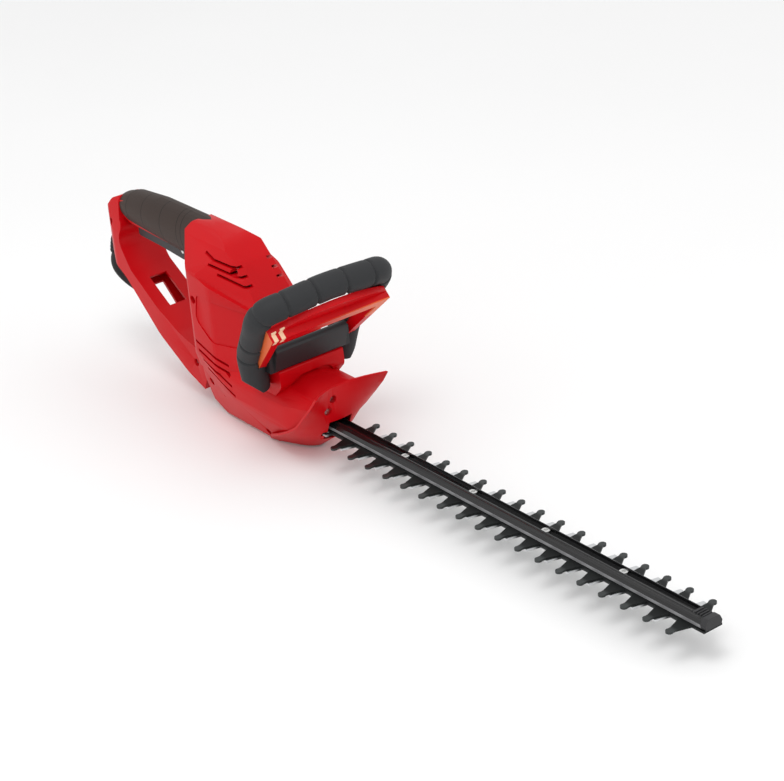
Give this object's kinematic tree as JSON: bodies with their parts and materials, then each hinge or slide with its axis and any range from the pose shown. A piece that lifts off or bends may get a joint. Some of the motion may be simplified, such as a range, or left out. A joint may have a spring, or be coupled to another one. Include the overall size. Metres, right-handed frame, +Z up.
{
  "type": "hedge trimmer",
  "caption": "Corded electric hedge trimmer with a looped front handle and switch bar, a closed rear handle with trigger, and a double-sided reciprocating blade.",
  "frame": {"origin": "on the floor under the middle of the tool's length, in its symmetry plane, the cord left out", "axes": "+X towards the blade tip, +Z up; the belly rests on Z = 0"},
  "size_m": [0.8849, 0.1843, 0.1915],
  "materials": {
    "red_shell": "satin moulded shell",
    "black_rubber": "matt",
    "grip_rubber": "soft matt overmould",
    "handle_plastic": "fine grained",
    "black_plastic": "satin",
    "screw_steel": "bright zinc",
    "blade_steel": "ground edges, dark coating",
    "comb_steel": "black coating",
    "rail_black": "gloss black",
    "gear_steel": "oiled",
    "cast_alloy": "die cast",
    "copper": "enamelled copper",
    "laminations": "stacked sheet",
    "carbon": "sintered",
    "brass": "pressed",
    "wire_blue": "insulation",
    "button_red": "satin",
    "capacitor_yellow": "dipped"
  },
  "bodies": {
    "housing": {"housing_left": "red_shell", "housing_right": "red_shell", "front_cover": "red_shell", "rear_grip_cover": "grip_rubber", "housing_screws": "screw_steel", "cover_screws": "screw_steel", "handle_loop": "handle_plastic", "handle_crossbar": "black_plastic", "handle_screws": "screw_steel", "bar_pins": "screw_steel", "bar_spring": "screw_steel", "trigger_pin": "screw_steel", "trigger_spring": "screw_steel", "rear_switch": "black_plastic", "front_switch": "black_plastic", "capacitor": "capacitor_yellow", "wiring": "wire_blue", "cord_clamp": "black_plastic", "cable_gland": "black_rubber", "mains_cord": "black_rubber", "plug": "black_rubber", "plug_pins": "brass", "motor_stator": "laminations", "field_coils": "copper", "carbon_brushes": "carbon", "brush_holders": "brass", "rear_bearing": "screw_steel", "front_bearing": "screw_steel", "gearbox_plate": "cast_alloy", "gearbox_cover": "cast_alloy", "gearbox_screws": "screw_steel", "gear_axle": "screw_steel", "comb": "comb_steel", "guide_rail": "rail_black", "clamp_strip": "blade_steel", "blade_bolts": "screw_steel", "blade_nuts": "screw_steel", "tip_cap": "black_plastic"},
    "trigger": {"rear_trigger": "black_plastic"},
    "trigger_plunger": {"rear_plunger": "button_red"},
    "switch_bar": {"switch_bar": "red_shell"},
    "bar_plunger": {"front_plunger": "button_red"},
    "rotor": {"armature": "laminations", "motor_shaft": "screw_steel", "commutator": "copper", "cooling_fan": "black_plastic", "pinion": "gear_steel"},
    "gear": {"drive_gear": "gear_steel", "eccentric": "gear_steel"},
    "rod": {"con_rod": "gear_steel", "con_rod_pin": "screw_steel"},
    "knife": {"knife": "blade_steel"}
  },
  "joints": [
    {"name": "trigger_squeeze", "type": "hinge", "parent": "housing", "child": "trigger", "pos_m": [-0.282, 0, 0.151], "axis": [0, 1, 0], "range_deg": [0, 3.2], "stiffness_Nm_per_rad": 6, "springref_deg": -1.72, "deforming": ["trigger_spring"]},
    {"name": "trigger_plunger_slide", "type": "slide", "parent": "housing", "child": "trigger_plunger", "axis": [0, 0, 1], "range_m": [0, 0.0036]},
    {"name": "switch_bar_press", "type": "hinge", "parent": "housing", "child": "switch_bar", "pos_m": [-0.117, 0, 0.092], "axis": [0, -1, 0], "range_deg": [0, 2.3], "stiffness_Nm_per_rad": 20, "springref_deg": -2.86, "deforming": ["bar_spring"]},
    {"name": "bar_plunger_slide", "type": "slide", "parent": "housing", "child": "bar_plunger", "axis": [-0.6972, 0, 0.7169], "range_m": [0, 0.0013]},
    {"name": "gear_spin", "type": "hinge", "parent": "housing", "child": "gear", "pos_m": [-0.139, 0, 0.036], "axis": [0, 0, 1], "continuous": true},
    {"name": "rotor_spin", "type": "hinge", "parent": "housing", "child": "rotor", "pos_m": [-0.178, 0, 0.09], "axis": [0, 0, 1], "continuous": true},
    {"name": "rod_swing", "type": "hinge", "parent": "gear", "child": "rod", "pos_m": [-0.13, 0, 0.023], "axis": [0, 0, 1], "continuous": true},
    {"name": "knife_stroke", "type": "slide", "parent": "housing", "child": "knife", "axis": [1, 0, 0], "range_m": [-0.009, 0.009]}
  ],
  "couplings": [
    {"joint": "rotor_spin", "follows": "gear_spin", "ratio": -5.5},
    {"joint": "rod_swing", "follows": "gear_spin", "ratio": -1},
    {"joint": "trigger_plunger_slide", "follows": "trigger_squeeze", "m_per_rad": 0.059},
    {"joint": "bar_plunger_slide", "follows": "switch_bar_press", "m_per_rad": 0.03}
  ]
}
